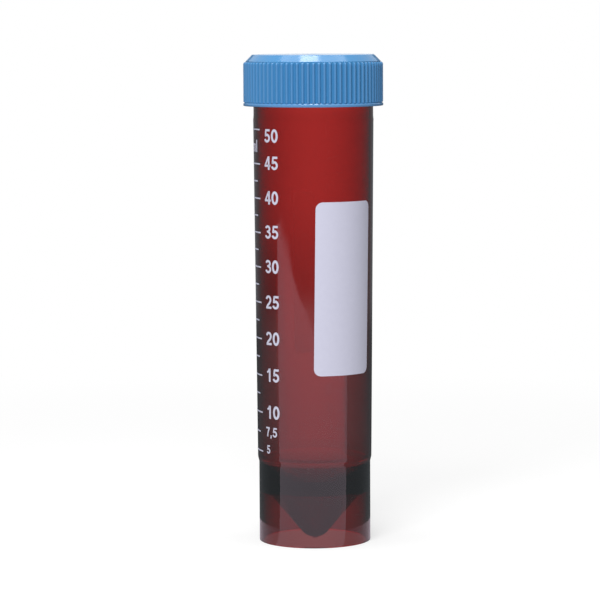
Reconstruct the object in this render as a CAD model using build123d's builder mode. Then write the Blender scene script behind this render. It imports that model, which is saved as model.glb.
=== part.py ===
from build123d import *
import math
import os

# Self-standing 50 ml centrifuge tube: skirted conical tube, ribbed screw cap and captive seal.
# The origin is on the tube's axis in the plane that the skirt stands on, with +Z up the tube.
# The pieces are placed as in the closed tube, and all sizes are in millimetres and degrees.

os.makedirs("parts", exist_ok=True)

# Driving dimensions

# Whole tube
overall_height = 120.0  # standing plane to the top of the closed cap
shoulder_gap = 2.7  # bare neck that shows under the closed cap

# Tube moulding
body_top_diameter = 29.5
body_low_diameter = 28.1
body_wall = 0.95
neck_inset = 0.03  # how far the neck lies inside the top of the body
shoulder_bead_height = 1.0
shoulder_bead_stand = 0.06
rim_chamfer = 0.25

# Skirt, the straight foot that the tube stands on
skirt_height = 19.3
skirt_wall = 0.95
skirt_edge_chamfer = 0.2
step_height = 1.7  # rounded step from the skirt out to the body
step_depth = 0.3  # how far the skirt lies inside the foot of the body

# Conical bottom inside the skirt
cone_half_angle = 40.0
cone_wall = 2.7
cone_tip_round = 4.2  # outside radius of the tip
cone_tip_lift = 0.6  # tip above the standing plane
gate_stub_diameter = 1.3
gate_stub_height = 0.3

# Seal, a soft disc held inside the cap
seal_thickness = 1.2
seal_side_clearance = 0.25
seal_end_clearance = 0.1

# Cap moulding
cap_height = 12.5
cap_top_thickness = 1.5
cap_wall = 0.75
thread_room = 0.8  # height of the neck's thread
thread_clearance = 0.3  # between the neck's thread and the cap's bore
cap_mouth_chamfer = 0.4
crown_height = 1.65  # conical edge round the cap's flat top
crown_inset = 1.6
crown_edge_chamfer = 0.15
band_height = 0.95  # smooth band round the cap's mouth
band_stand = 0.6  # how far the band stands out of the grooves
band_edge_chamfer = 0.2
rib_count = 80
rib_width = 0.9  # across a rib's foot
rib_crest_width = 0.42
rib_stand = 0.55
rib_root = 0.1  # how far a rib reaches into the cap's wall
rib_top_gap = 0.15  # groove left open between the ribs' tops and the crown
rib_top_drop = 0.6  # fall of a rib's sloped top, from its root out to its crest
retainer_overlap = 0.3  # how far the bead reaches under the seal's edge
retainer_height = 0.7
dimple_diameter = 3.4
dimple_depth = 0.3
gate_mark_diameter = 1.0
gate_mark_height = 0.15

# Heights along the axis, from the cap down to the shoulder

cap_mouth_z = overall_height - cap_height
cap_ceiling_z = overall_height - cap_top_thickness
rim_z = cap_ceiling_z - seal_thickness
shoulder_z = cap_mouth_z - shoulder_gap
body_top_z = shoulder_z - shoulder_bead_height
body_low_z = skirt_height + step_height

# Radii

body_top_radius = body_top_diameter / 2
body_low_radius = body_low_diameter / 2
skirt_radius = body_low_radius - step_depth
skirt_bore_radius = skirt_radius - skirt_wall
neck_radius = body_top_radius - neck_inset
mouth_radius = body_top_radius - body_wall
bore_low_radius = body_low_radius - body_wall
bead_radius = body_top_radius + shoulder_bead_stand
cap_bore_radius = neck_radius + thread_room + thread_clearance
groove_radius = cap_bore_radius + cap_wall
rib_radius = groove_radius + rib_stand
band_radius = groove_radius + band_stand
seal_radius = cap_bore_radius - seal_side_clearance
retainer_radius = seal_radius - retainer_overlap

# The cone's two skins share one centre at the tip, so its wall is even all the way down.

cone_angle = math.radians(cone_half_angle)
tip_sweep = 90 - cone_half_angle
tip_centre_z = cone_tip_lift + cone_tip_round
well_round = cone_tip_round - cone_wall


def tip_tangent(tip_round):
    """The point where a rounded tip of this radius runs into its cone."""
    return (tip_round * math.cos(cone_angle), tip_centre_z - tip_round * math.sin(cone_angle))


def cone_height(radius, tip_round):
    """The height at which the cone above a rounded tip reaches this radius."""
    tangent_radius, tangent_z = tip_tangent(tip_round)
    return tangent_z + (radius - tangent_radius) / math.tan(cone_angle)


def rings(part, radius, height):
    """A part's round edges about the axis, of one radius and at one height."""
    circles = part.edges().filter_by(GeomType.CIRCLE)
    return circles.filter_by(
        lambda edge: math.isclose(edge.radius, radius, abs_tol=0.01)
        and math.isclose(edge.arc_center.Z, height, abs_tol=0.01)
    )


# Tube: one moulding from the rim down to the skirt

well_top_z = cone_height(bore_low_radius, well_round)
cone_root_z = cone_height(skirt_bore_radius, cone_tip_round)

with BuildPart() as tube:
    # Outside, with the skirt's step as an arc that runs out of the body's wall
    with BuildSketch(Plane.XZ):
        with BuildLine():
            Polyline(
                (body_low_radius, body_low_z),
                (body_top_radius, body_top_z),
                (bead_radius, body_top_z + shoulder_bead_stand),
                (bead_radius, shoulder_z - shoulder_bead_stand),
                (neck_radius, shoulder_z),
                (neck_radius, rim_z),
                (0, rim_z),
                (0, 0),
                (skirt_radius, 0),
                (skirt_radius, skirt_height),
            )
            TangentArc(
                (body_low_radius, body_low_z),
                (skirt_radius, skirt_height),
                tangent=(0, -1),
            )
        make_face()
    revolve(axis=Axis.Z)

    # Bore, and the conical well at its foot
    with BuildSketch(Plane.XZ):
        with BuildLine():
            CenterArc((0, tip_centre_z), well_round, -90, tip_sweep)
            Polyline(
                tip_tangent(well_round),
                (bore_low_radius, well_top_z),
                (mouth_radius, body_top_z),
                (mouth_radius, rim_z),
                (0, rim_z),
                (0, tip_centre_z - well_round),
            )
        make_face()
    revolve(axis=Axis.Z, mode=Mode.SUBTRACT)

    # Hollow foot, between the skirt and the cone
    with BuildSketch(Plane.XZ):
        with BuildLine():
            CenterArc((0, tip_centre_z), cone_tip_round, -90, tip_sweep)
            Polyline(
                tip_tangent(cone_tip_round),
                (skirt_bore_radius, cone_root_z),
                (skirt_bore_radius, 0),
                (0, 0),
                (0, cone_tip_lift),
            )
        make_face()
    revolve(axis=Axis.Z, mode=Mode.SUBTRACT)

    # Stub that the mould's gate leaves on the tip
    with BuildSketch(Plane.XY.offset(cone_tip_lift - gate_stub_height)):
        Circle(gate_stub_diameter / 2)
    extrude(amount=gate_stub_height + cone_wall / 2)

    chamfer(rings(tube, neck_radius, rim_z) + rings(tube, mouth_radius, rim_z), rim_chamfer)
    chamfer(rings(tube, skirt_radius, 0) + rings(tube, skirt_bore_radius, 0), skirt_edge_chamfer)

# Seal: a flat disc between the cap's ceiling and the rim

with BuildPart() as seal:
    with BuildSketch(Plane.XY.offset(rim_z)):
        Circle(seal_radius)
    extrude(amount=seal_thickness)

# Cap: a ribbed cup with a conical crown, a smooth band round its mouth and a bead that keeps the seal

crown_low_z = overall_height - crown_height
groove_low_z = cap_mouth_z + band_height
rib_top_z = crown_low_z - rib_top_gap
retainer_top_z = rim_z - seal_end_clearance

# One rib of the cap's grip, with drafted flanks and a sloped top
with BuildPart() as rib:
    with BuildSketch(Plane.XY.offset(groove_low_z)):
        with BuildLine():
            Polyline(
                (groove_radius - rib_root, -rib_width / 2),
                (groove_radius, -rib_width / 2),
                (rib_radius, -rib_crest_width / 2),
                (rib_radius, rib_crest_width / 2),
                (groove_radius, rib_width / 2),
                (groove_radius - rib_root, rib_width / 2),
                close=True,
            )
        make_face()
    extrude(amount=rib_top_z - groove_low_z)
    with BuildSketch(Plane.XZ):
        with BuildLine():
            Polyline(
                (groove_radius - rib_root, rib_top_z),
                (rib_radius, rib_top_z),
                (rib_radius, rib_top_z - rib_top_drop),
                close=True,
            )
        make_face()
    extrude(amount=rib_width / 2, both=True, mode=Mode.SUBTRACT)

with BuildPart() as cap:
    with BuildSketch(Plane.XZ):
        with BuildLine():
            Polyline(
                (0, overall_height),
                (groove_radius - crown_inset, overall_height),
                (groove_radius, crown_low_z),
                (groove_radius, groove_low_z),
                (band_radius, groove_low_z),
                (band_radius, cap_mouth_z),
                (0, cap_mouth_z),
                close=True,
            )
        make_face()
    revolve(axis=Axis.Z)
    chamfer(rings(cap, band_radius, cap_mouth_z), band_edge_chamfer)
    chamfer(rings(cap, groove_radius - crown_inset, overall_height), crown_edge_chamfer)

    # The ribs stand on the band and end just below the crown
    with PolarLocations(0, rib_count):
        add(rib.part)

    # Inside: the bore with its chamfered mouth, the seal's seat and the bead below it
    with BuildSketch(Plane.XZ):
        with BuildLine():
            Polyline(
                (0, cap_ceiling_z),
                (cap_bore_radius, cap_ceiling_z),
                (cap_bore_radius, retainer_top_z),
                (retainer_radius, retainer_top_z - retainer_height / 2),
                (cap_bore_radius, retainer_top_z - retainer_height),
                (cap_bore_radius, cap_mouth_z + cap_mouth_chamfer),
                (cap_bore_radius + cap_mouth_chamfer, cap_mouth_z),
                (0, cap_mouth_z),
                close=True,
            )
        make_face()
    revolve(axis=Axis.Z, mode=Mode.SUBTRACT)

    # Gate mark: a small stub in a shallow dimple in the middle of the top
    with BuildSketch(Plane.XY.offset(overall_height)):
        Circle(dimple_diameter / 2)
    extrude(amount=-dimple_depth, mode=Mode.SUBTRACT)
    with BuildSketch(Plane.XY.offset(overall_height - dimple_depth)):
        Circle(gate_mark_diameter / 2)
    extrude(amount=gate_mark_height)

tube.part.label = "tube"
seal.part.label = "seal"
cap.part.label = "cap"

export_step(tube.part, "parts/tube.step")
export_step(seal.part, "parts/seal.step")
export_step(cap.part, "parts/cap.step")
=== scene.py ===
import math

import bmesh
import bpy
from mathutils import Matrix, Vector


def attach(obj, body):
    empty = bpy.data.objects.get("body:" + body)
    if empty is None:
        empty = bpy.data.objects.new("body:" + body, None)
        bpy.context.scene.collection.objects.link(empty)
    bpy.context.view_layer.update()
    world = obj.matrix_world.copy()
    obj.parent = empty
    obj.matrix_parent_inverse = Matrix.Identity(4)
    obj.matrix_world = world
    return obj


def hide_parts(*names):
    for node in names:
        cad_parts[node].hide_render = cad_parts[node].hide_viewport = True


# A closed 50 ml tube with its print, in a small white studio.
# The shape and the print are in millimetres and degrees, and the studio is in metres.
# The tube stands on the floor, with its axis on Z, and its printed side faces -Y.

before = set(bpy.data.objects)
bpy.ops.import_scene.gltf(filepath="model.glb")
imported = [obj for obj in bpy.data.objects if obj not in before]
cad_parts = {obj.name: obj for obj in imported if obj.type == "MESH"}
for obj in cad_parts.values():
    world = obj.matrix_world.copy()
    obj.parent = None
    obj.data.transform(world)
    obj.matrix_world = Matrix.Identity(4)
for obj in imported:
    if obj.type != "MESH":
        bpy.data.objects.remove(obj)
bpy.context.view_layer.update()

MM = 0.001
TINY = 1e-6

# Whole tube, with the CAD model's sizes
TOP_Z = 120.0
CAP_H = 12.5
CAP_TOP = 1.5
SEAL = 1.2
SHOULDER_GAP = 2.7

# Tube moulding
BODY_TOP_R = 14.75
BODY_LOW_R = 14.05
WALL = 0.95
NECK_R = BODY_TOP_R - 0.03
BEAD_R = BODY_TOP_R + 0.03
BEAD_H = 1.0
SKIRT_H = 19.3
SKIRT_R = BODY_LOW_R - 0.3
STEP_H = 1.7
CONE_ANGLE = math.radians(40.0)
CONE_WALL = 2.7
TIP_ROUND = 4.2
TIP_LIFT = 0.6
STUB_R = 0.65
STUB_H = 0.3

# How softly the tube's corners are rounded
RIM_ROUND_IN = 0.35
RIM_ROUND_OUT = 0.3
SHOULDER_ROUND = 6.0
BORE_ROUND = 3.0
WELL_EDGE_ROUND = 10.0
STEP_TOP_ROUND = 2.5
STEP_FOOT_ROUND = 1.5
SKIRT_EDGE_ROUND = 0.2
CONE_ROOT_ROUND = 0.5
STUB_ROUND = 0.08

# Cap moulding
CAP_BORE_R = 15.82
GROOVE_R = CAP_BORE_R + 0.75
RIB_STAND = 0.55
BAND_R = GROOVE_R + 0.6
BAND_H = 0.95
BAND_SLOPE_IN = 0.36
BAND_SLOPE_DOWN = 0.38
# the cap is painted paler from this radius out, painted light on its crests and band
CREST_LIGHT_FROM_R = GROOVE_R + 0.15
CROWN_H = 1.65
CROWN_INSET = 1.6
RIB_COUNT = 80
RIB_FOOT = 1.0
RIB_FLANK = 0.37
RIB_TOP_GAP = 0.15
RIB_TOP_DROP = 0.6
MOUTH_CHAMFER = 0.4
DIMPLE_R = 1.7
DIMPLE_DEPTH = 0.3
GATE_R = 0.5
GATE_H = 0.15
RETAINER_R = 15.27
RETAINER_H = 0.7

# How softly the cap's corners are rounded
CROWN_TOP_ROUND = 0.35
CROWN_LOW_ROUND = 0.3
DIMPLE_ROUND = 0.08
GATE_TOP_ROUND = 0.05
GATE_FOOT_ROUND = 0.04
BAND_TOP_ROUND = 0.1
BAND_EDGE_ROUND = 0.12
MOUTH_ROUND = 0.2
CHAMFER_ROUND = 0.05
BORE_CORNER_ROUND = 0.1
RETAINER_ROUND = 0.12

# Heights and radii that follow from them
CAP_LOW_Z = TOP_Z - CAP_H
CEILING_Z = TOP_Z - CAP_TOP
RIM_Z = CEILING_Z - SEAL
SHOULDER_Z = CAP_LOW_Z - SHOULDER_GAP
BODY_TOP_Z = SHOULDER_Z - BEAD_H
BODY_LOW_Z = SKIRT_H + STEP_H
BAND_TOP_Z = CAP_LOW_Z + BAND_H
CROWN_LOW_Z = TOP_Z - CROWN_H
RIB_TOP_Z = CROWN_LOW_Z - RIB_TOP_GAP
RETAINER_TOP_Z = RIM_Z - 0.1
MOUTH_R = BODY_TOP_R - WALL
BORE_LOW_R = BODY_LOW_R - WALL
SKIRT_BORE_R = SKIRT_R - WALL
TIP_Z = TIP_LIFT + TIP_ROUND
TIP_SWEEP = 90 - math.degrees(CONE_ANGLE)
WELL_ROUND = TIP_ROUND - CONE_WALL

# Screw thread: two starts, right-handed
LEAD = 6.0
STARTS = 2
THREAD_ROOT = 1.35
THREAD_CREST = 0.55
THREAD_RUN_OUT = 0.05  # turns over which a ridge fades at each end
THREAD_LOW_Z = CAP_LOW_Z + 1.2
NECK_THREAD_HIGH_Z = 115.6
NECK_THREAD_DEPTH = 0.78
CAP_THREAD_HIGH_Z = 115.0
CAP_THREAD_DEPTH = 0.75
CAP_THREAD_PHASE = 0.25

# How far the fine rows of points reach beyond a thread's ends
NECK_MARGIN = 0.8
SLEEVE_MARGIN = 0.75

# Fineness of the meshes
TUBE_SEGMENTS = 240
CAP_SEGMENTS = RIB_COUNT * 10
THREAD_ROW = 0.07
SLEEVE_ROW = 0.08
RIB_ROW = 3.0

# ---------------------------------------------------------------- geometry helpers


def arc(centre_r, centre_z, radius, start, end, steps):
    """Points of an arc in the profile's plane, angles in degrees from +r towards +z."""
    out = []
    for i in range(steps + 1):
        a = math.radians(start + (end - start) * i / steps)
        out.append((centre_r + radius * math.cos(a), centre_z + radius * math.sin(a)))
    return out


def filleted(points, steps=4, support=0.12):
    """A profile's corners rounded. Each point is (r, z, corner radius), and long runs get a
    row of points near each end, so that smooth shading stays flat between them."""
    out = []
    for i, point in enumerate(points):
        here = Vector(point[:2])
        if len(point) < 3 or i in (0, len(points) - 1):
            out.append(tuple(here))
            continue
        before = Vector(points[i - 1][:2]) - here
        after = Vector(points[i + 1][:2]) - here
        slope = math.tan(before.angle(after) / 2)
        reach = min(point[2] / slope, 0.45 * before.length, 0.45 * after.length)
        radius = reach * slope
        before.normalize()
        after.normalize()
        centre = here + (before + after).normalized() * math.hypot(reach, radius)
        first = (here + before * reach - centre).normalized()
        last = (here + after * reach - centre).normalized()
        out += [tuple(centre + first.slerp(last, k / steps) * radius) for k in range(steps + 1)]
    dense = [out[0]]
    for a, b in zip(out, out[1:]):
        va, vb = Vector(a), Vector(b)
        length = (vb - va).length
        if length > 4 * support:
            dense.append(tuple(va.lerp(vb, support / length)))
            dense.append(tuple(va.lerp(vb, 1 - support / length)))
        dense.append(b)
    return dense


def rows(low, high, step):
    """Heights from low to high, no further apart than the step."""
    count = math.ceil((high - low) / step)
    return [low + (high - low) * i / count for i in range(count + 1)]


def smooth(t):
    t = min(1.0, max(0.0, t))
    return t * t * (3 - 2 * t)


def new_piece(name, mesh):
    piece = bpy.data.objects.new(name, mesh)
    bpy.context.scene.collection.objects.link(piece)
    return piece


def lathe(name, profile, segments, swell):
    """A piece revolved about the axis. swell(theta, r, z) moves a point out by that much."""
    verts, rings = [], []
    for r, z in profile:
        if r < TINY:
            rings.append([len(verts)])
            verts.append((0.0, 0.0, z * MM))
            continue
        rings.append(range(len(verts), len(verts) + segments))
        for k in range(segments):
            theta = 2 * math.pi * k / segments
            radius = r + swell(theta, r, z)
            verts.append((radius * math.cos(theta) * MM, radius * math.sin(theta) * MM, z * MM))
    faces = []
    for low, high in zip(rings, rings[1:]):
        for k in range(segments):
            j = (k + 1) % segments
            if len(low) == 1:
                faces.append((low[0], high[k], high[j]))
            elif len(high) == 1:
                faces.append((low[k], low[j], high[0]))
            else:
                faces.append((low[k], low[j], high[j], high[k]))
    mesh = bpy.data.meshes.new(name)
    mesh.from_pydata(verts, [], faces)
    bm = bmesh.new()
    bm.from_mesh(mesh)
    bmesh.ops.recalc_face_normals(bm, faces=bm.faces)
    bm.to_mesh(mesh)
    bm.free()
    mesh.shade_smooth()
    return new_piece(name, mesh)


def thread_height(theta, z, high, phase=0.0):
    """Share of the thread's full height at a point. Its ridges fade in and out at the ends."""
    best = 0.0
    turns_in_all = (high - THREAD_LOW_Z) / LEAD
    for start in range(STARTS):
        turn = (theta / (2 * math.pi) - start / STARTS - phase) % 1.0
        while turn <= turns_in_all:
            off = abs(z - THREAD_LOW_Z - LEAD * turn)
            if off < THREAD_ROOT / 2:
                ends = min(turn, turns_in_all - turn) / THREAD_RUN_OUT
                flank = (THREAD_ROOT / 2 - off) / ((THREAD_ROOT - THREAD_CREST) / 2)
                best = max(best, smooth(flank) * smooth(ends))
            turn += 1.0
    return best


# ---------------------------------------------------------------- tube moulding


def cone_z(radius, tip_round):
    """The height at which the cone above a rounded tip reaches this radius."""
    run = radius - tip_round * math.cos(CONE_ANGLE)
    return TIP_Z - tip_round * math.sin(CONE_ANGLE) + run / math.tan(CONE_ANGLE)


def tube_profile():
    """The moulding's outline, from the bottom of the well round to the stub under the tip."""
    well = arc(0, TIP_Z, WELL_ROUND, -90, -90 + TIP_SWEEP, 10)
    well[0] = (0.0, TIP_Z - WELL_ROUND)
    bore = filleted([
        well[-1],
        (BORE_LOW_R, cone_z(BORE_LOW_R, WELL_ROUND), WELL_EDGE_ROUND),
        (MOUTH_R, BODY_TOP_Z, BORE_ROUND),
        (MOUTH_R, RIM_Z, RIM_ROUND_IN),
        (NECK_R, RIM_Z, RIM_ROUND_OUT),
        (NECK_R, NECK_THREAD_HIGH_Z + NECK_MARGIN + 0.2),
    ], steps=6)
    threaded = rows(THREAD_LOW_Z - NECK_MARGIN, NECK_THREAD_HIGH_Z + NECK_MARGIN, THREAD_ROW)
    neck = [(NECK_R, z) for z in reversed(threaded)]
    outside = filleted([
        (NECK_R, THREAD_LOW_Z - NECK_MARGIN - 0.2),
        (NECK_R, SHOULDER_Z + 0.25, SHOULDER_ROUND),
        (BEAD_R, SHOULDER_Z - 0.35, SHOULDER_ROUND),
        (BODY_TOP_R, BODY_TOP_Z - 0.2, SHOULDER_ROUND),
        (BODY_LOW_R, BODY_LOW_Z - 0.1, STEP_TOP_ROUND),
        (SKIRT_R, SKIRT_H + 0.45, STEP_FOOT_ROUND),
        (SKIRT_R, 0.0, SKIRT_EDGE_ROUND),
        (SKIRT_BORE_R, 0.0, SKIRT_EDGE_ROUND),
        (SKIRT_BORE_R, cone_z(SKIRT_BORE_R, TIP_ROUND), CONE_ROOT_ROUND),
        (TIP_ROUND * math.cos(CONE_ANGLE), TIP_Z - TIP_ROUND * math.sin(CONE_ANGLE)),
    ], steps=5)
    tip = list(reversed(arc(0, TIP_Z, TIP_ROUND, -90, -90 + TIP_SWEEP, 14)))[1:-1]
    tip = [point for point in tip if point[0] > STUB_R + 0.1]
    stub = filleted([
        (STUB_R, TIP_LIFT + 0.05),
        (STUB_R, TIP_LIFT - STUB_H, STUB_ROUND),
        (0.0, TIP_LIFT - STUB_H),
    ], steps=3, support=0.05)
    return well + bore[1:] + neck + outside + tip + stub


def neck_swell(theta, r, z):
    """The thread on the neck. Its height is nothing above and below the threaded rows."""
    if abs(r - NECK_R) > TINY:
        return 0.0
    return NECK_THREAD_DEPTH * thread_height(theta, z, NECK_THREAD_HIGH_Z)


tube = lathe("tube_moulding", tube_profile(), TUBE_SEGMENTS, neck_swell)
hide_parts("tube")
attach(tube, "tube")

# ---------------------------------------------------------------- cap moulding


def rib_swell(theta, r, z):
    """The ribs of the grip: rounded crests, drafted flanks and rounded tops."""
    if abs(r - GROOVE_R) > TINY or not BAND_TOP_Z - 0.01 < z < RIB_TOP_Z:
        return 0.0
    pitch = 2 * math.pi * (GROOVE_R + RIB_STAND / 2) / RIB_COUNT
    turn = theta / (2 * math.pi) * RIB_COUNT
    off = abs(turn - round(turn)) * pitch
    side = smooth((RIB_FOOT / 2 - off) / RIB_FLANK)
    rise = min(1.0, (RIB_TOP_Z - z) / RIB_TOP_DROP)
    return RIB_STAND * side * math.sqrt(1 - (1 - rise) ** 2)


def cap_profile():
    """The moulding's outline, from the gate mark on top round to the ceiling inside."""
    dimple_z = TOP_Z - DIMPLE_DEPTH
    crown = filleted([
        (0.0, dimple_z + GATE_H),
        (GATE_R, dimple_z + GATE_H, GATE_TOP_ROUND),
        (GATE_R, dimple_z, GATE_FOOT_ROUND),
        (DIMPLE_R, dimple_z, DIMPLE_ROUND),
        (DIMPLE_R, TOP_Z, DIMPLE_ROUND),
        (GROOVE_R - CROWN_INSET, TOP_Z, CROWN_TOP_ROUND),
        (GROOVE_R + 0.02, CROWN_LOW_Z, CROWN_LOW_ROUND),
        (GROOVE_R - 0.04, RIB_TOP_Z + 0.02),
    ], steps=4, support=0.1)
    # rows lie close together where the ribs end, and far apart between
    rounding_z = RIB_TOP_Z - RIB_TOP_DROP
    rib_tops = rows(rounding_z - 0.1, RIB_TOP_Z - 0.001, THREAD_ROW)
    ribs = rows(BAND_TOP_Z + 0.1, rounding_z - 0.3, RIB_ROW)
    rib_feet = [BAND_TOP_Z, BAND_TOP_Z + 0.04]
    grip = [(GROOVE_R, z) for z in reversed(rib_feet + ribs + rib_tops)]
    mouth = filleted([
        (GROOVE_R + 0.01, BAND_TOP_Z),
        (BAND_R - BAND_SLOPE_IN, BAND_TOP_Z - 0.02, BAND_TOP_ROUND),
        (BAND_R, BAND_TOP_Z - BAND_SLOPE_DOWN, BAND_EDGE_ROUND),
        (BAND_R, CAP_LOW_Z, MOUTH_ROUND),
        (CAP_BORE_R + MOUTH_CHAMFER, CAP_LOW_Z, CHAMFER_ROUND),
        (CAP_BORE_R, CAP_LOW_Z + MOUTH_CHAMFER, MOUTH_ROUND),
        (CAP_BORE_R, RETAINER_TOP_Z - RETAINER_H, BORE_CORNER_ROUND),
        (RETAINER_R, RETAINER_TOP_Z - RETAINER_H / 2, RETAINER_ROUND),
        (CAP_BORE_R, RETAINER_TOP_Z, BORE_CORNER_ROUND),
        (CAP_BORE_R, CEILING_Z, BORE_CORNER_ROUND),
        (0.0, CEILING_Z),
    ], steps=4, support=0.1)
    return crown + grip + mouth


cap = lathe("cap_moulding", cap_profile(), CAP_SEGMENTS, rib_swell)
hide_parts("cap")
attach(cap, "cap")


def cap_thread():
    """The cap's own thread: ridges on a thin sleeve that is sunk into the cap's wall."""
    low, high = THREAD_LOW_Z - SLEEVE_MARGIN, CAP_THREAD_HIGH_Z + SLEEVE_MARGIN
    face, back = CAP_BORE_R + 0.02, CAP_BORE_R + 0.3
    profile = [(back, low)] + [(face, z) for z in rows(low, high, SLEEVE_ROW)]
    profile += [(back, high), (back, low)]

    def ridge(theta, r, z):
        if r == back:
            return 0.0
        return -CAP_THREAD_DEPTH * thread_height(theta, z, CAP_THREAD_HIGH_Z, CAP_THREAD_PHASE)

    return lathe("cap_thread", profile, TUBE_SEGMENTS, ridge)


thread = cap_thread()
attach(thread, "cap")

# ---------------------------------------------------------------- print on the tube

# A print is drawn flat first: x is the angle from the front in degrees, to the right, and y
# is the height in millimetres.

INK_GAP = 0.012
INK_THICK = 0.02
BEND = 1.2  # degrees between the folds that wrap a print round the body

# Height of each mark of the scale, by its volume in ml. A measuring script took these from
# the photo, so they are a table and not worked out from the tube's sizes.
MARKS = {
    5: 22.93, 7.5: 27.70, 10: 32.58, 12.5: 37.17, 15: 41.72, 17.5: 46.24, 20: 50.75,
    22.5: 55.22, 25: 59.67, 27.5: 64.03, 30: 68.35, 32.5: 72.57, 35: 76.78, 37.5: 80.95,
    40: 85.13, 42.5: 89.33, 45: 93.55, 50: 101.9,
}
TICK_FROM = -101.0
LONG_TICK_TO = -63.6
LONG_TICK_LEAN = 0.9
SHORT_TICK_TO = -69.6
SHORT_TICK_LEAN = 0.7
TICK_WIDTH = 0.34

NUMERAL_FROM = -54.9
NUMERAL_LEAN = 0.7
NUMERAL_H = 3.25
NUMERAL_LIFT = 0.36  # from a mark up to the middle of its numeral
LAST_LIFT = -1.4  # the 50 hangs under its mark
# The two lowest numerals are smaller: text, volume, left edge, lift and height
SMALL_NUMERALS = (("7,5", 7.5, -57.6, 0.35, 2.35), ("5", 5, -56.6, 0.75, 2.1))

UNIT_FROM = -85.5
UNIT_Z = 97.9
UNIT_H = 3.0
UNIT_STRETCH = 1.25

PATCH_FROM = 0.4
PATCH_TO = 64.6
PATCH_LOW_Z = 42.35
PATCH_HIGH_Z = 84.6
PATCH_MIDDLE_Z = 63.5
PATCH_ROUND = 1.75
PATCH_LEAN = 0.055  # degrees of lean for each millimetre up


def body_radius(z):
    share = (z - BODY_LOW_Z) / (BODY_TOP_Z - BODY_LOW_Z)
    return BODY_LOW_R + (BODY_TOP_R - BODY_LOW_R) * share


def degrees_across(length, z):
    return math.degrees(length / body_radius(z))


def wrap_print(name, flat):
    """Bends a flat shape onto the body, as a thin closed layer of ink."""
    xs = [v.co.x for v in flat.verts]
    at = math.floor(min(xs) / BEND) * BEND + BEND
    while at < max(xs):
        everything = list(flat.verts) + list(flat.edges) + list(flat.faces)
        bmesh.ops.bisect_plane(flat, geom=everything, plane_co=(at, 0, 0), plane_no=(1, 0, 0))
        at += BEND
    made = bmesh.ops.extrude_face_region(flat, geom=list(flat.faces))
    top = set(v for v in made["geom"] if isinstance(v, bmesh.types.BMVert))
    for v in flat.verts:
        angle, z = math.radians(v.co.x), v.co.y
        radius = body_radius(z) + INK_GAP + (INK_THICK if v in top else 0.0)
        v.co = Vector((radius * math.sin(angle), -radius * math.cos(angle), z)) * MM
    bmesh.ops.recalc_face_normals(flat, faces=flat.faces)
    mesh = bpy.data.meshes.new(name)
    flat.to_mesh(mesh)
    flat.free()
    return new_piece(name, mesh)


def rectangle(flat, x0, x1, y0, y1):
    corners = ((x0, y0), (x1, y0), (x1, y1), (x0, y1))
    flat.faces.new([flat.verts.new((x, y, 0)) for x, y in corners])


def rounded_box(flat, x0, x1, y0, y1, rx, ry, steps=8):
    """A rectangle with rounded corners, which reach rx across and ry up."""
    verts = []
    corners = ((x1 - rx, y1 - ry), (x0 + rx, y1 - ry), (x0 + rx, y0 + ry), (x1 - rx, y0 + ry))
    for corner, (cx, cy) in enumerate(corners):
        for k in range(steps + 1):
            a = math.radians(90 * corner + 90 * k / steps)
            verts.append(flat.verts.new((cx + rx * math.cos(a), cy + ry * math.sin(a), 0)))
    flat.faces.new(verts)


# Characters on a grid one unit high. Each lists its strokes, one after another, as points
# and a width, and a point may be an arc, given as (centre x, centre y, radius x, radius y,
# first angle, last angle).
GLYPHS = {
    "0": ([(0.345, 0.5, 0.235, 0.415, 90, 450)], 0.19),
    "1": ([(0.09, 0.70), (0.25, 0.79), (0.37, 0.98)], 0.15, [(0.395, 0.0), (0.395, 1.0)], 0.19),
    "2": ([(0.335, 0.68, 0.235, 0.235, 172, -28), (0.44, 0.42), (0.22, 0.24), (0.13, 0.06)], 0.18,
          [(0.045, 0.085), (0.655, 0.085)], 0.17),
    "3": ([(0.325, 0.73, 0.215, 0.185, 165, -80)], 0.175,
          [(0.33, 0.30, 0.25, 0.215, 80, -165)], 0.175,
          [(0.23, 0.53), (0.40, 0.53)], 0.15),
    "4": ([(0.505, 0.0), (0.505, 1.0)], 0.185, [(0.02, 0.30), (0.69, 0.30)], 0.155,
          [(0.09, 0.31), (0.46, 0.94)], 0.15),
    "5": ([(0.63, 0.915), (0.16, 0.915)], 0.17, [(0.215, 0.95), (0.15, 0.46)], 0.155,
          [(0.33, 0.33, 0.245, 0.245, 140, -163)], 0.18),
    "7": ([(0.04, 0.915), (0.66, 0.915)], 0.17,
          [(0.60, 0.90), (0.42, 0.58), (0.33, 0.30), (0.30, 0.0)], 0.185),
    ",": ([(0.14, 0.17), (0.14, -0.03), (0.07, -0.17)], 0.17),
    "m": ([(0.08, 0.0), (0.08, 0.70)], 0.15,
          [(0.08, 0.42), (0.27, 0.46, 0.15, 0.17, 170, 10), (0.42, 0.0)], 0.14,
          [(0.42, 0.42), (0.61, 0.46, 0.15, 0.17, 170, 10), (0.76, 0.0)], 0.14),
    "l": ([(0.10, 0.0), (0.10, 1.0)], 0.15),
}
ADVANCE = {
    "0": 0.76, "1": 0.72, "2": 0.76, "3": 0.75, "4": 0.76, "5": 0.76, "7": 0.74,
    ",": 0.36, "m": 0.95, "l": 0.2,
}


def centre_line(points):
    """A stroke's points, with its arcs opened out."""
    line = []
    for point in points:
        if len(point) == 2:
            line.append(Vector(point))
            continue
        cx, cy, rx, ry, start, end = point
        for k in range(25):
            a = math.radians(start + (end - start) * k / 24)
            line.append(Vector((cx + rx * math.cos(a), cy + ry * math.sin(a))))
    return line


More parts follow.
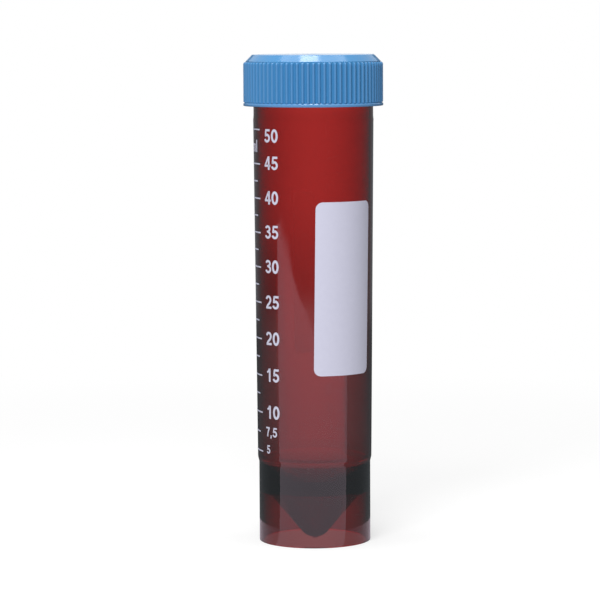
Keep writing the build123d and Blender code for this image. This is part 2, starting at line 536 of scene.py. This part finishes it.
def add_stroke(flat, place, points, width):
    """A stroke as a strip of faces. place(x, y) gives a vertex's place in the print."""
    line = centre_line(points)
    closed = (line[0] - line[-1]).length < TINY
    sides = []
    for i, here in enumerate(line):
        before = line[i - 1] if i else (line[-2] if closed else here)
        after = line[i + 1] if i + 1 < len(line) else (line[1] if closed else here)
        way = (after - before).normalized()
        out = Vector((-way.y, way.x)) * width / 2
        sides.append((here + out, here - out))
    verts = [[flat.verts.new((*place(p.x, p.y), 0)) for p in pair] for pair in sides]
    for a, b in zip(verts, verts[1:]):
        flat.faces.new((a[0], a[1], b[1], b[0]))


def add_text(flat, text, left, centre, height, stretch=1.0):
    """Writes characters from a left edge in degrees, about a height in millimetres."""
    at = 0.0
    for letter in text:

        def place(x, y, start=at):
            across = (start + x) * height * stretch
            return left + degrees_across(across, centre), centre + (y - 0.5) * height

        strokes = GLYPHS[letter]
        for points, width in zip(strokes[0::2], strokes[1::2]):
            add_stroke(flat, place, points, width)
        at += ADVANCE[letter]


def scale_ticks():
    """The marks, whose right ends lean a little further to the right up the scale."""
    flat = bmesh.new()
    for volume, z in MARKS.items():
        up = (volume - 27.5) / 22.5
        if volume % 5 == 0:
            end = LONG_TICK_TO + LONG_TICK_LEAN * up
        else:
            end = SHORT_TICK_TO + SHORT_TICK_LEAN * up
        rectangle(flat, TICK_FROM, end, z - TICK_WIDTH / 2, z + TICK_WIDTH / 2)
    return wrap_print("scale_ticks", flat)


def scale_numbers():
    """The numerals, a little above their marks, apart from the 50 that hangs under its own."""
    flat = bmesh.new()
    for volume in range(10, 55, 5):
        left = NUMERAL_FROM + NUMERAL_LEAN * (volume - 30) / 20
        lift = LAST_LIFT if volume == 50 else NUMERAL_LIFT
        add_text(flat, str(volume), left, MARKS[volume] + lift, NUMERAL_H)
    for text, volume, left, lift, height in SMALL_NUMERALS:
        add_text(flat, text, left, MARKS[volume] + lift, height)
    return wrap_print("scale_numbers", flat)


def unit_mark():
    flat = bmesh.new()
    add_text(flat, "ml", UNIT_FROM, UNIT_Z, UNIT_H, UNIT_STRETCH)
    return wrap_print("unit_mark", flat)


def writing_patch():
    """The patch, whose sides lean a little to the right going up."""
    flat = bmesh.new()
    round_across = degrees_across(PATCH_ROUND, 60)
    rounded_box(flat, PATCH_FROM, PATCH_TO, PATCH_LOW_Z, PATCH_HIGH_Z, round_across, PATCH_ROUND)
    for v in flat.verts:
        v.co.x += PATCH_LEAN * (v.co.y - PATCH_MIDDLE_Z)
    return wrap_print("writing_patch", flat)


prints = [scale_ticks(), scale_numbers(), unit_mark(), writing_patch()]
for piece in prints:
    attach(piece, "tube")

# ---------------------------------------------------------------- node helpers

BUMP_DEPTH = 0.0002


class Nodes:
    """Short names for making the node tree of a material or a world."""

    def __init__(self, owner):
        owner.use_nodes = True
        self.owner = owner
        self.tree = owner.node_tree
        self.tree.nodes.clear()

    def add(self, kind):
        return self.tree.nodes.new("ShaderNode" + kind)

    def feed(self, socket, value):
        """Links another node's output to a socket, or sets the socket's own value."""
        if isinstance(value, bpy.types.NodeSocket):
            self.tree.links.new(value, socket)
        else:
            socket.default_value = value

    def math(self, operation, *values, clamp=False):
        node = self.add("Math")
        node.operation = operation
        node.use_clamp = clamp
        for socket, value in zip(node.inputs, values):
            self.feed(socket, value)
        return node.outputs[0]

    def plus(self, a, b, clamp=False):
        return self.math("ADD", a, b, clamp=clamp)

    def minus(self, a, b, clamp=False):
        return self.math("SUBTRACT", a, b, clamp=clamp)

    def times(self, a, b):
        return self.math("MULTIPLY", a, b)

    def over(self, value, limit):
        return self.math("GREATER_THAN", value, limit)

    def under(self, value, limit):
        return self.math("LESS_THAN", value, limit)

    def lerp(self, share, first, second):
        """A number that goes from the first to the second as the share goes from 0 to 1."""
        return self.plus(first, self.times(self.minus(second, first), share))

    def ramp(self, value, low, high, out_low=0.0, out_high=1.0, kind="LINEAR"):
        """Maps the range from low to high onto another, and holds it beyond."""
        node = self.add("MapRange")
        node.interpolation_type = kind
        node.inputs["From Min"].default_value = low
        node.inputs["From Max"].default_value = high
        node.inputs["To Min"].default_value = out_low
        node.inputs["To Max"].default_value = out_high
        self.feed(node.inputs["Value"], value)
        return node.outputs["Result"]

    def steps(self, value, low, high):
        """Rises smoothly from 0 to 1 between two values."""
        return self.ramp(value, low, high, kind="SMOOTHSTEP")

    def noise(self, coords, scale, detail=3.0):
        node = self.add("TexNoise")
        node.inputs["Scale"].default_value = scale
        node.inputs["Detail"].default_value = detail
        self.feed(node.inputs["Vector"], coords)
        return node.outputs["Fac"]

    def bump(self, coords, scale, strength):
        """A fine uneven surface, as a normal."""
        node = self.add("Bump")
        node.inputs["Strength"].default_value = strength
        node.inputs["Distance"].default_value = BUMP_DEPTH
        self.feed(node.inputs["Height"], self.noise(coords, scale, 2.0))
        return node.outputs["Normal"]

    def mix(self, share, first, second):
        """A colour between two others."""
        node = self.add("Mix")
        node.data_type = "RGBA"
        self.feed(node.inputs["Factor"], share)
        self.feed(node.inputs["A"], first)
        self.feed(node.inputs["B"], second)
        return node.outputs["Result"]

    def split(self, vector):
        """A vector's X, Y and Z."""
        node = self.add("SeparateXYZ")
        self.feed(node.inputs[0], vector)
        return node.outputs["X"], node.outputs["Y"], node.outputs["Z"]

    def length(self, x, y):
        return self.math("SQRT", self.plus(self.times(x, x), self.times(y, y)))

    def light(self, kind, strength, colour=(1, 1, 1, 1)):
        """An Emission or Background shader."""
        node = self.add(kind)
        node.inputs["Color"].default_value = colour
        self.feed(node.inputs["Strength"], strength)
        return node.outputs[0]

    def blend(self, share, first, second):
        """A shader between two others."""
        node = self.add("MixShader")
        for socket, value in zip(node.inputs, (share, first, second)):
            self.feed(socket, value)
        return node.outputs[0]


def new_material(name):
    """A Principled material's node tree, with the object's own coordinates and its output."""
    n = Nodes(bpy.data.materials.new(name))
    coords = n.add("TexCoord").outputs["Object"]
    shader = n.add("BsdfPrincipled")
    output = n.add("OutputMaterial")
    n.feed(output.inputs["Surface"], shader.outputs[0])
    return n, coords, shader.inputs, output.inputs


def paint(piece, material):
    piece.data.materials.clear()
    piece.data.materials.append(material)


# ---------------------------------------------------------------- materials


def amber_plastic():
    """Clear polypropylene, whose colour comes from what a wall's thickness absorbs."""
    n, coords, shader, output = new_material("amber_plastic")
    shader["Transmission Weight"].default_value = 1.0
    shader["IOR"].default_value = 1.5
    shader["Coat Weight"].default_value = 0.7
    shader["Coat Roughness"].default_value = 0.03
    # painted shade: the plastic's tint is painted darker where a wall is seen aslant, so the tube
    # comes out darker towards its edges
    facing = n.add("LayerWeight").outputs["Facing"]
    slope = n.minus(0.75, n.times(facing, 0.25))
    n.feed(shader["Base Color"], n.minus(1.0, n.times(facing, slope)))
    n.feed(shader["Roughness"], n.ramp(n.noise(coords, 900.0), 0.3, 0.7, 0.02, 0.05))
    n.feed(shader["Normal"], n.bump(coords, 260.0, 0.05))
    absorb = n.add("VolumeAbsorption")
    absorb.inputs["Color"].default_value = (0.816, 0.12, 0.08, 1)
    absorb.inputs["Density"].default_value = 2500.0
    n.feed(output["Volume"], absorb.outputs[0])
    return n.owner


def blue_plastic():
    n, coords, shader, _ = new_material("blue_plastic")
    body = n.mix(n.noise(coords, 120.0), (0.052, 0.243, 0.515, 1), (0.062, 0.263, 0.545, 1))
    # painted light: the thin crests and the band are painted paler than the wall behind them, for
    # the light that they catch and let through
    x, y, _ = n.split(coords)
    crest_light = n.ramp(n.length(x, y), CREST_LIGHT_FROM_R * MM, BAND_R * MM)
    n.feed(shader["Base Color"], n.mix(crest_light, body, (0.115, 0.315, 0.62, 1)))
    shader["IOR"].default_value = 1.5
    n.feed(shader["Roughness"], n.ramp(n.noise(coords, 700.0), 0.3, 0.7, 0.13, 0.17))
    n.feed(shader["Normal"], n.bump(coords, 1500.0, 0.01))
    return n.owner


def seal_foam():
    n, coords, shader, _ = new_material("seal_foam")
    tone = n.mix(n.noise(coords, 500.0), (0.74, 0.74, 0.71, 1), (0.82, 0.82, 0.80, 1))
    n.feed(shader["Base Color"], tone)
    shader["Roughness"].default_value = 0.6
    n.feed(shader["Normal"], n.bump(coords, 2500.0, 0.2))
    return n.owner


def white_ink():
    n, coords, shader, _ = new_material("white_ink")
    tone = n.mix(n.noise(coords, 800.0), (0.685, 0.685, 0.84, 1), (0.725, 0.725, 0.88, 1))
    n.feed(shader["Base Color"], tone)
    shader["Roughness"].default_value = 0.55
    return n.owner


amber, blue, foam, ink = amber_plastic(), blue_plastic(), seal_foam(), white_ink()

paint(tube, amber)
paint(cap, blue)
paint(thread, blue)
for piece in prints:
    paint(piece, ink)
for name, material in (("tube", amber), ("cap", blue), ("seal", foam)):
    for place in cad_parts[name].material_slots:
        place.material = material

# ---------------------------------------------------------------- floor and world

# The clear plastic shows the studio in two ways, straight through its walls and mirrored on
# them. The floor and the world answer those two kinds of ray with the photo's studio, which
# has a white background, a shaded bench and dark cards on both sides of a pale sheet. The
# camera itself sees pale paper that fades into white, and diffuse light comes from plain grey
# paper and a soft even sky.

FLOOR_HALF = 3.0
PAPER = 0.5
PAPER_LIFT = 0.55
SHEET_COLOUR = (0.90, 0.79, 0.91, 1)
CARD_COLOUR = (0.85, 0.93, 1.0, 1)
ROOM_COLOUR = (0.95, 0.97, 1.0, 1)
ROOM = 0.17
SOFT_LIGHT = 0.12

# Straight edges on the floor, as x at y = 0 and the change in x for each metre of y. The
# bright lane runs back from the tube, and the pale sheet widens towards the camera.
LANE_LEFT = (-0.009, -0.065)
LANE_RIGHT = (0.0077, 0.046)
LANE_SHADE = 0.43
SHEET_LEFT = (0.028, 4.1)
SHEET_RIGHT = (-0.0245, -2.525)
SHEET_END = -0.44
SHEET_HALF = 0.90

UNDER_TUBE_R = (SKIRT_R + 0.15) * MM
UNDER_TUBE_SHADE = 0.05  # brightness of the floor under the tube, a painted shade
RING_R = 0.036
RING = 0.5  # brightness of the ring of paper round the foot
RING_BACK = -0.86  # the ring is open where the direction is further behind than this
INNER_FACE_SHADE = 0.6  # how much dimmer the floor is painted where the skirt's inner face mirrors it, a painted shade
SHEET_FADE = 0.12  # how much the sheet dims away from the tube

# How bright the bench is through the plastic, by the distance from the tube's axis
BENCH = (
    (0.0135, 0.25), (0.0144, 0.30), (0.2001, 0.34), (0.300, 0.405), (0.501, 0.52), (0.663, 0.61),
    (0.801, 0.69), (0.900, 0.74), (1.056, 0.84), (1.242, 0.92), (1.470, 0.96), (2.790, 1.0),
)


def ray_kinds(n):
    """Which rays come from the camera, see the studio straight through the plastic, or see
    it mirrored."""
    rays = n.add("LightPath").outputs
    direct = n.under(rays["Diffuse Depth"], 0.5)
    bounced = n.over(rays["Glossy Depth"], 0.5)
    mirrored = n.times(direct, bounced)
    through = n.times(direct, n.minus(rays["Is Transmission Ray"], bounced, clamp=True))
    return rays["Is Camera Ray"], through, mirrored


def between(n, x, y, left, right):
    """Which points of the floor lie between two straight edges."""
    after = n.over(x, n.plus(left[0], n.times(y, left[1])))
    before = n.under(x, n.plus(right[0], n.times(y, right[1])))
    return n.times(after, before)


def paper(n, away, camera):
    """The paper itself, which fades into the white background away from the object."""
    diffuse = n.add("BsdfDiffuse")
    diffuse.inputs["Color"].default_value = (PAPER, PAPER, PAPER, 1)
    lifted = n.add("AddShader")
    n.feed(lifted.inputs[0], diffuse.outputs[0])
    n.feed(lifted.inputs[1], n.light("Emission", n.times(camera, PAPER_LIFT)))
    far = n.times(n.steps(away, 0.10, 0.35), camera)
    return n.blend(far, lifted.outputs[0], n.light("Emission", 1.0))


def bench(n, x, y, away):
    """Through the plastic: in the object's shade near by, and lit further back. A lane
    straight behind the tube stays bright, with dimmer bench on both sides of it."""
    curve = n.add("ValToRGB")
    band = curve.color_ramp.elements
    while len(band) < len(BENCH):
        band.new(0.5)
    for element, (distance, level) in zip(band, BENCH):
        element.position = distance / FLOOR_HALF
        element.color = (level, level, level, 1)
    n.feed(curve.inputs[0], n.math("DIVIDE", away, FLOOR_HALF))
    outside = n.minus(1.0, between(n, x, y, LANE_LEFT, LANE_RIGHT))
    shade = n.times(n.minus(n.steps(away, 0.04, 0.10), n.steps(away, 0.4, 1.2)), LANE_SHADE)
    level = n.minus(1.0, n.times(outside, shade))
    return n.light("Emission", n.times(curve.outputs[0], level))


def pale_sheet(n, x, y):
    """In reflections: where the pale sheet lies in front, between the cards."""
    sheet = n.times(n.under(y, 0.0), between(n, x, y, SHEET_LEFT, SHEET_RIGHT))
    # its end towards the camera, which is bent, and softer at the sides
    across = n.math("ABSOLUTE", x)
    end = n.plus(SHEET_END, n.times(n.steps(across, 0.02, 0.12), -0.05))
    end = n.plus(end, n.times(n.steps(across, 0.55, 0.95), 0.15))
    blur = n.plus(n.times(n.steps(across, 0.35, 0.70), 0.15), 0.01)
    inside = n.plus(n.math("DIVIDE", n.minus(y, end), blur), 0.5, clamp=True)
    return n.times(n.times(sheet, inside), n.under(across, SHEET_HALF))


def mirrored_studio(n, x, y, away):
    """In reflections: the sheet, the dark cards and a paler ring of paper round the foot."""
    # 1 straight in front of the tube, and -1 straight behind it
    ahead = n.math("DIVIDE", n.times(y, -1.0), away)
    close_by = n.plus(n.times(ahead, 0.17), 0.25)
    further = n.plus(n.times(ahead, 0.31), 0.36)
    cards = n.lerp(n.steps(away, 0.11, 0.20), close_by, further)
    cards = n.lerp(n.steps(away, 0.42, 0.62), cards, ROOM)
    ring = n.times(n.under(away, RING_R), n.over(ahead, RING_BACK))
    # painted shade: the floor is painted dark under the tube, and dimmer where the skirt's inner
    # face mirrors it than where its outer face does
    open_floor = n.plus(n.times(n.over(away, UNDER_TUBE_R), 1.0 - UNDER_TUBE_SHADE), UNDER_TUBE_SHADE)
    crossed = n.over(n.add("LightPath").outputs["Transmission Depth"], 1.5)
    inner = n.times(crossed, n.minus(1.0, n.steps(away, 0.105, 0.125)))
    level = n.times(open_floor, n.minus(1.0, n.times(inner, INNER_FACE_SHADE)))
    fade = n.minus(1.0, n.times(n.steps(away, 0.45, 0.75), SHEET_FADE))
    dim = n.light("Emission", n.times(cards, level), CARD_COLOUR)
    half = n.light("Emission", n.times(level, RING), SHEET_COLOUR)
    lit = n.light("Emission", n.times(level, fade), SHEET_COLOUR)
    return n.blend(pale_sheet(n, x, y), n.blend(ring, dim, half), lit)


def make_floor():
    corners = [(-1, -1), (1, -1), (1, 1), (-1, 1)]
    mesh = bpy.data.meshes.new("floor")
    mesh.from_pydata([(x * FLOOR_HALF, y * FLOOR_HALF, 0) for x, y in corners], [], [(0, 1, 2, 3)])
    floor = new_piece("floor", mesh)
    n = Nodes(bpy.data.materials.new("floor_paper"))
    n.owner.cycles.emission_sampling = "NONE"
    x, y, _ = n.split(n.add("TexCoord").outputs["Object"])
    away = n.length(x, y)
    camera, through, mirrored = ray_kinds(n)
    whole = n.blend(through, paper(n, away, camera), bench(n, x, y, away))
    whole = n.blend(mirrored, whole, mirrored_studio(n, x, y, away))
    n.feed(n.add("OutputMaterial").inputs["Surface"], whole)
    paint(floor, n.owner)


def make_world():
    world = bpy.data.worlds.new("studio")
    bpy.context.scene.world = world
    n = Nodes(world)
    world.cycles.sampling_method = "NONE"
    camera, through, mirrored = ray_kinds(n)
    # a dim room in reflections, with the white background behind and above
    _, y, z = n.split(n.add("TexCoord").outputs["Generated"])
    behind = n.over(y, 0.98)
    above = n.times(n.over(z, 0.3), n.over(y, 0.1))
    room = n.math("MAXIMUM", n.math("MAXIMUM", behind, above), ROOM)
    whole = n.blend(camera, n.light("Background", SOFT_LIGHT), n.light("Background", 1.0))
    whole = n.blend(through, whole, n.light("Background", 1.0))
    whole = n.blend(mirrored, whole, n.light("Background", room, ROOM_COLOUR))
    n.feed(n.add("OutputWorld").inputs["Surface"], whole)


# ---------------------------------------------------------------- lamps and camera

CAMERA_PLACE = (-0.00315, -0.715, 0.129)
CAMERA_LENS = 174.72
CAMERA_DOWN = 5.543  # degrees below the horizontal
CAMERA_ROLL = 0.27


def softbox(name, azimuth, elevation, distance, width, height, power):
    """A rectangular lamp that faces the middle of the tube. Azimuth 0 is in front, and 90 to
    the right."""
    light = bpy.data.lights.new(name, "AREA")
    light.shape = "RECTANGLE"
    light.size, light.size_y = width, height
    light.energy = power
    a, e = math.radians(azimuth), math.radians(elevation)
    away = Vector((math.sin(a) * math.cos(e), -math.cos(a) * math.cos(e), math.sin(e)))
    lamp = bpy.data.objects.new(name, light)
    lamp.location = Vector((0, 0, TOP_Z / 2 * MM)) + away * distance
    lamp.rotation_mode = "QUATERNION"
    lamp.rotation_quaternion = away.to_track_quat("Z", "Y")
    bpy.context.scene.collection.objects.link(lamp)
    return lamp


def make_camera():
    """The photo's view: slightly above the tube's top, and looking down on the whole of it."""
    data = bpy.data.cameras.new("camera")
    data.sensor_width = 36.0
    data.lens = CAMERA_LENS
    data.clip_start = 0.01
    data.clip_end = 50.0
    camera = bpy.data.objects.new("camera", data)
    camera.location = CAMERA_PLACE
    camera.rotation_euler = (math.radians(90 - CAMERA_DOWN), math.radians(CAMERA_ROLL), 0)
    bpy.context.scene.collection.objects.link(camera)
    bpy.context.scene.camera = camera


bpy.context.scene.view_settings.view_transform = "Standard"
make_floor()
make_world()
# the key lights the print and the cap, and stays out of the plastic's own reflections
key = softbox("key", azimuth=-12, elevation=38, distance=0.9, width=0.5, height=0.5, power=6.35)
key.visible_glossy = False
key.visible_transmission = False
softbox("overhead", azimuth=0, elevation=88, distance=0.8, width=0.8, height=0.5, power=3.3)
softbox("top_light", azimuth=-90, elevation=86.8, distance=0.78, width=0.14, height=0.214, power=0.9)
make_camera()
